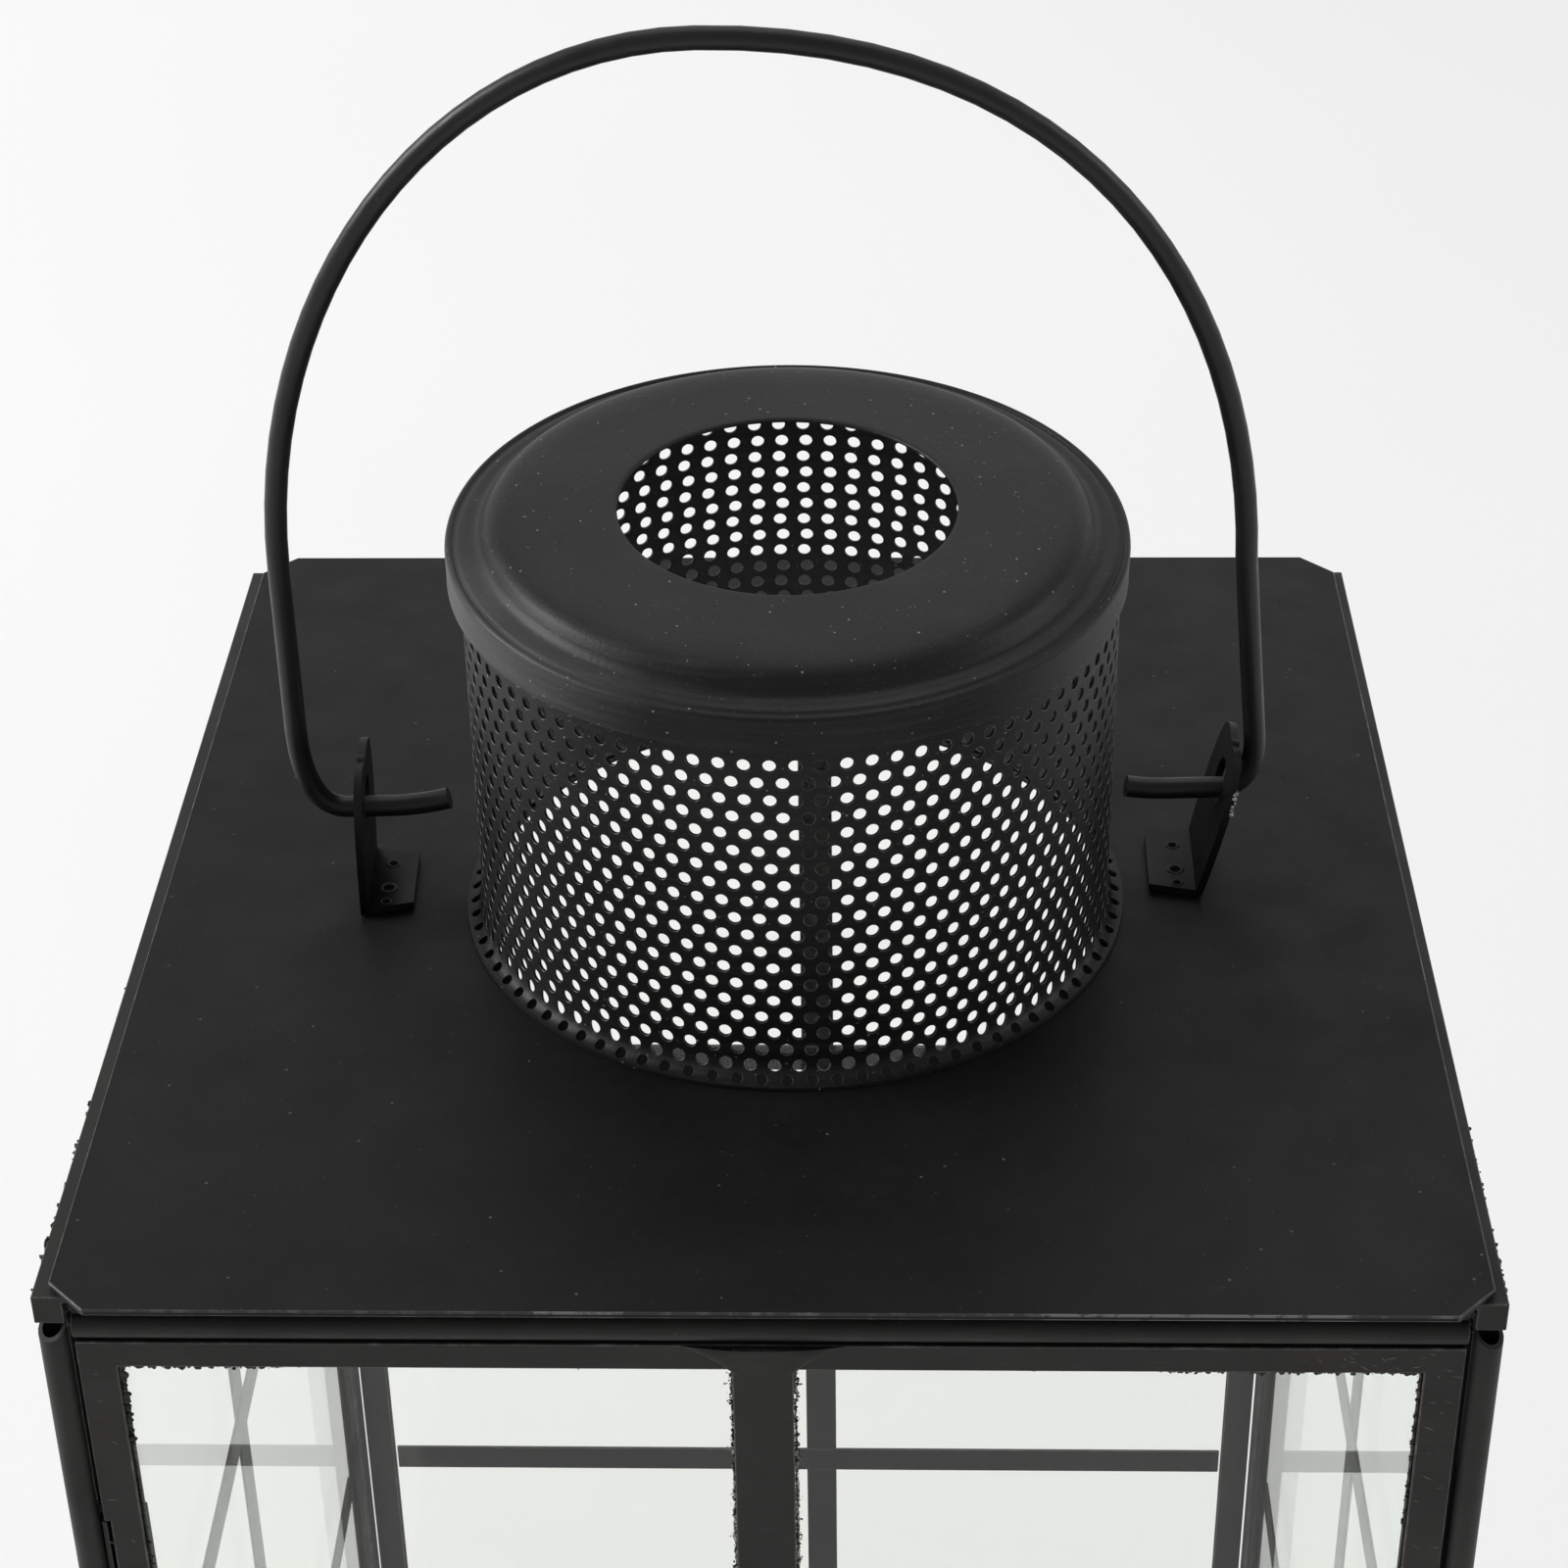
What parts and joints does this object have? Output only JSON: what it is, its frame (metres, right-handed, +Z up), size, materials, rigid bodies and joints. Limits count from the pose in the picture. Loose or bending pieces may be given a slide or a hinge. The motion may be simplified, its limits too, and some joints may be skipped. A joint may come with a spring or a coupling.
{
  "type": "candle lantern",
  "caption": "Square black metal and glass candle lantern with paned walls, a hinged glass door, a perforated round chimney with a holed cap, and a wire bail.",
  "frame": {"origin": "centre of the flat underside of the base tray, on the surface the lantern stands on", "axes": "+Z up, the glazed door faces -Y, +X to the right seen from the front"},
  "size_m": [0.2026, 0.2118, 0.4726],
  "materials": {
    "roof_paint": "matt black paint with fine dust and rubbed edges",
    "chimney_paint": "satin black paint, rubbed lighter along the rims",
    "frame_paint": "brushed warm black paint with fine scratches",
    "ear_paint": "matt black paint",
    "wire_paint": "smooth satin black wire",
    "clear_glass": "clear glass with a faint grey green tint"
  },
  "bodies": {
    "root": {"base_tray": "frame_paint", "post_front_left": "frame_paint", "post_front_right": "frame_paint", "post_back_left": "frame_paint", "post_back_right": "frame_paint", "top_frame": "roof_paint", "roof_sheet": "roof_paint", "wall_frame_left": "frame_paint", "wall_frame_right": "frame_paint", "wall_frame_back": "frame_paint", "glass_left": "clear_glass", "glass_right": "clear_glass", "glass_back": "clear_glass", "upright_strip_left": "frame_paint", "upright_strip_right": "frame_paint", "upright_strip_back": "frame_paint", "cross_bar_left_upper": "frame_paint", "cross_bar_left_lower": "frame_paint", "cross_bar_right_upper": "frame_paint", "cross_bar_right_lower": "frame_paint", "cross_bar_back_upper": "frame_paint", "cross_bar_back_lower": "frame_paint", "door_stop": "frame_paint", "turn_button_rivet": "wire_paint", "chimney_wall": "chimney_paint", "chimney_foot": "chimney_paint", "chimney_cap": "chimney_paint", "bail_ear_left": "ear_paint", "bail_ear_right": "ear_paint"},
    "door": {"door_frame": "frame_paint", "glass_door": "clear_glass", "upright_strip_door": "frame_paint", "cross_bar_door_upper": "frame_paint", "cross_bar_door_lower": "frame_paint", "hinge_strap_upper": "frame_paint", "hinge_strap_lower": "frame_paint", "door_knob": "wire_paint"},
    "catch": {"turn_button": "frame_paint"},
    "bail": {"bail_wire": "wire_paint"}
  },
  "joints": [
    {"name": "door_hinge", "type": "hinge", "parent": "root", "child": "door", "pos_m": [-0.0981, -0.0981, 0.165], "axis": [0, 0, -1], "range_deg": [0, 170]},
    {"name": "catch_turn", "type": "hinge", "parent": "root", "child": "catch", "pos_m": [0.078, -0.1021, 0.0052], "axis": [0, -1, 0], "range_deg": [0, 90]},
    {"name": "bail_swing", "type": "hinge", "parent": "root", "child": "bail", "pos_m": [0, -0.0008, 0.3466], "axis": [0.9991, 0.0427, 0], "range_deg": [-97, 97]}
  ]
}
